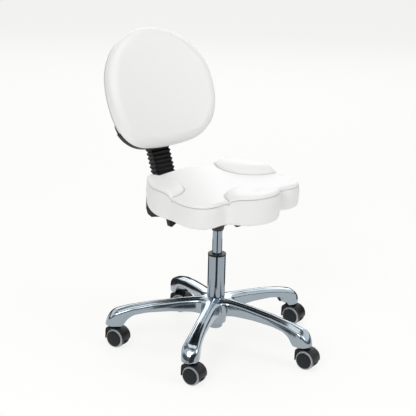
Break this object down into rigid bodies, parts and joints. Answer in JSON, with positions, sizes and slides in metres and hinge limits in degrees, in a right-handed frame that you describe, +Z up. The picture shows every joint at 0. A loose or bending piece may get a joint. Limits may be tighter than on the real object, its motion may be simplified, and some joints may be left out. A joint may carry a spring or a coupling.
{
  "type": "pedicure stool",
  "caption": "Wheeled work stool with a contoured white seat, a gas height lift, a tilting height-adjustable backrest and a polished star base on twin-wheel casters.",
  "frame": {"origin": "on the floor, on the axis of the gas lift column", "axes": "+Z up, the sitter faces -Y, +X is the sitter's left"},
  "size_m": [0.5808, 0.6957, 0.8632],
  "materials": {
    "white_leather": "satin",
    "polished_aluminium": "polished",
    "chrome": "polished",
    "black_plastic": "satin",
    "wheel_rubber": "satin",
    "black_rubber": "satin",
    "black_steel": "satin",
    "steel": "satin",
    "white_nylon": "satin",
    "plywood": "matte"
  },
  "bodies": {
    "base": {"base_star": "polished_aluminium", "gas_outer_tube": "chrome", "gas_top_collar": "black_plastic", "gas_guide_bush": "white_nylon", "gas_thrust_bearing": "steel"},
    "caster_1": {"caster_1_hood": "black_plastic", "caster_1_stem": "steel", "caster_1_axle": "steel"},
    "caster_1_wheel_a": {"caster_1_wheel_a": "wheel_rubber"},
    "caster_1_wheel_b": {"caster_1_wheel_b": "wheel_rubber"},
    "caster_2": {"caster_2_hood": "black_plastic", "caster_2_stem": "steel", "caster_2_axle": "steel"},
    "caster_2_wheel_a": {"caster_2_wheel_a": "wheel_rubber"},
    "caster_2_wheel_b": {"caster_2_wheel_b": "wheel_rubber"},
    "caster_3": {"caster_3_hood": "black_plastic", "caster_3_stem": "steel", "caster_3_axle": "steel"},
    "caster_3_wheel_a": {"caster_3_wheel_a": "wheel_rubber"},
    "caster_3_wheel_b": {"caster_3_wheel_b": "wheel_rubber"},
    "caster_4": {"caster_4_hood": "black_plastic", "caster_4_stem": "steel", "caster_4_axle": "steel"},
    "caster_4_wheel_a": {"caster_4_wheel_a": "wheel_rubber"},
    "caster_4_wheel_b": {"caster_4_wheel_b": "wheel_rubber"},
    "caster_5": {"caster_5_hood": "black_plastic", "caster_5_stem": "steel", "caster_5_axle": "steel"},
    "caster_5_wheel_a": {"caster_5_wheel_a": "wheel_rubber"},
    "caster_5_wheel_b": {"caster_5_wheel_b": "wheel_rubber"},
    "lift_rod": {"gas_piston_rod": "steel", "gas_piston": "black_plastic", "gas_rod_clip": "steel"},
    "seat_frame": {"gas_inner_cylinder": "chrome", "mechanism_housing": "black_steel", "seat_plate": "black_steel", "seat_bolts": "steel", "seat_board": "plywood", "seat_cushion": "white_leather", "tilt_pivot_pin": "steel"},
    "height_lever": {"height_lever_rod": "black_steel", "height_lever_grip": "black_plastic"},
    "release_pin": {"gas_release_pin": "steel"},
    "tilt_lever": {"tilt_lever_rod": "black_steel", "tilt_lever_grip": "black_plastic"},
    "back_arm": {"back_carrier": "black_steel", "back_arm_bar": "black_steel", "back_arm_bolts": "steel", "back_arm_shroud": "black_plastic", "back_bellows": "black_rubber"},
    "backrest": {"back_slider": "black_steel", "back_board": "plywood", "back_cushion": "white_leather", "back_shell": "white_leather", "back_lower_cover": "black_plastic", "back_screws": "steel"},
    "back_knob": {"back_knob_grip": "black_plastic", "back_knob_stud": "steel"}
  },
  "joints": [
    {"name": "caster_1_swivel", "type": "hinge", "parent": "base", "child": "caster_1", "pos_m": [-0.23031, 0.17292, 0.06], "axis": [0, 0, 1], "continuous": true},
    {"name": "caster_1_roll_a", "type": "hinge", "parent": "caster_1", "child": "caster_1_wheel_a", "pos_m": [-0.22598, 0.15961, 0.0275], "axis": [0.9511, 0.309, 0], "continuous": true},
    {"name": "caster_1_roll_b", "type": "hinge", "parent": "caster_1", "child": "caster_1_wheel_b", "pos_m": [-0.22598, 0.15961, 0.0275], "axis": [0.9511, 0.309, 0], "continuous": true},
    {"name": "caster_2_swivel", "type": "hinge", "parent": "base", "child": "caster_2", "pos_m": [-0.23563, -0.1656, 0.06], "axis": [0, 0, 1], "continuous": true},
    {"name": "caster_2_roll_a", "type": "hinge", "parent": "caster_2", "child": "caster_2_wheel_a", "pos_m": [-0.2313, -0.17892, 0.0275], "axis": [0.9511, 0.309, 0], "continuous": true},
    {"name": "caster_2_roll_b", "type": "hinge", "parent": "caster_2", "child": "caster_2_wheel_b", "pos_m": [-0.2313, -0.17892, 0.0275], "axis": [0.9511, 0.309, 0], "continuous": true},
    {"name": "caster_3_swivel", "type": "hinge", "parent": "base", "child": "caster_3", "pos_m": [0.08468, -0.27527, 0.06], "axis": [0, 0, 1], "continuous": true},
    {"name": "caster_3_roll_a", "type": "hinge", "parent": "caster_3", "child": "caster_3_wheel_a", "pos_m": [0.08901, -0.28858, 0.0275], "axis": [0.9511, 0.309, 0], "continuous": true},
    {"name": "caster_3_roll_b", "type": "hinge", "parent": "caster_3", "child": "caster_3_wheel_b", "pos_m": [0.08901, -0.28858, 0.0275], "axis": [0.9511, 0.309, 0], "continuous": true},
    {"name": "caster_4_swivel", "type": "hinge", "parent": "base", "child": "caster_4", "pos_m": [0.28796, -0.00452, 0.06], "axis": [0, 0, 1], "continuous": true},
    {"name": "caster_4_roll_a", "type": "hinge", "parent": "caster_4", "child": "caster_4_wheel_a", "pos_m": [0.29229, -0.01784, 0.0275], "axis": [0.9511, 0.309, 0], "continuous": true},
    {"name": "caster_4_roll_b", "type": "hinge", "parent": "caster_4", "child": "caster_4_wheel_b", "pos_m": [0.29229, -0.01784, 0.0275], "axis": [0.9511, 0.309, 0], "continuous": true},
    {"name": "caster_5_swivel", "type": "hinge", "parent": "base", "child": "caster_5", "pos_m": [0.09329, 0.27247, 0.06], "axis": [0, 0, 1], "continuous": true},
    {"name": "caster_5_roll_a", "type": "hinge", "parent": "caster_5", "child": "caster_5_wheel_a", "pos_m": [0.09761, 0.25916, 0.0275], "axis": [0.9511, 0.309, 0], "continuous": true},
    {"name": "caster_5_roll_b", "type": "hinge", "parent": "caster_5", "child": "caster_5_wheel_b", "pos_m": [0.09761, 0.25916, 0.0275], "axis": [0.9511, 0.309, 0], "continuous": true},
    {"name": "seat_swivel", "type": "hinge", "parent": "base", "child": "lift_rod", "pos_m": [0, 0, 0.06], "axis": [0, 0, 1], "continuous": true},
    {"name": "seat_height", "type": "slide", "parent": "lift_rod", "child": "seat_frame", "axis": [0, 0, 1], "range_m": [-0.065, 0.035]},
    {"name": "height_lever", "type": "hinge", "parent": "seat_frame", "child": "height_lever", "pos_m": [0.024, -0.032, 0.3948], "axis": [0, -1, 0], "range_deg": [0, 5.98], "stiffness_Nm_per_rad": 2, "springref_deg": -5.73},
    {"name": "release_pin", "type": "slide", "parent": "seat_frame", "child": "release_pin", "axis": [0, 0, -1], "range_m": [0, 0.0026]},
    {"name": "tilt_lever", "type": "hinge", "parent": "seat_frame", "child": "tilt_lever", "pos_m": [-0.1, 0.083, 0.38], "axis": [-1, 0, 0], "range_deg": [0, 30]},
    {"name": "back_tilt", "type": "hinge", "parent": "seat_frame", "child": "back_arm", "pos_m": [0, 0.06, 0.38], "axis": [-1, 0, 0], "range_deg": [-15, 3]},
    {"name": "back_height", "type": "slide", "parent": "back_arm", "child": "backrest", "axis": [0, 0.3827, 0.9239], "range_m": [-0.03, 0.03], "deforming": ["back_bellows"]},
    {"name": "back_knob", "type": "hinge", "parent": "backrest", "child": "back_knob", "pos_m": [0, 0.32806, 0.5766], "axis": [0, 0.9239, -0.3827], "range_deg": [0, 360]}
  ],
  "couplings": [
    {"joint": "release_pin", "follows": "height_lever", "m_per_rad": 0.024}
  ]
}
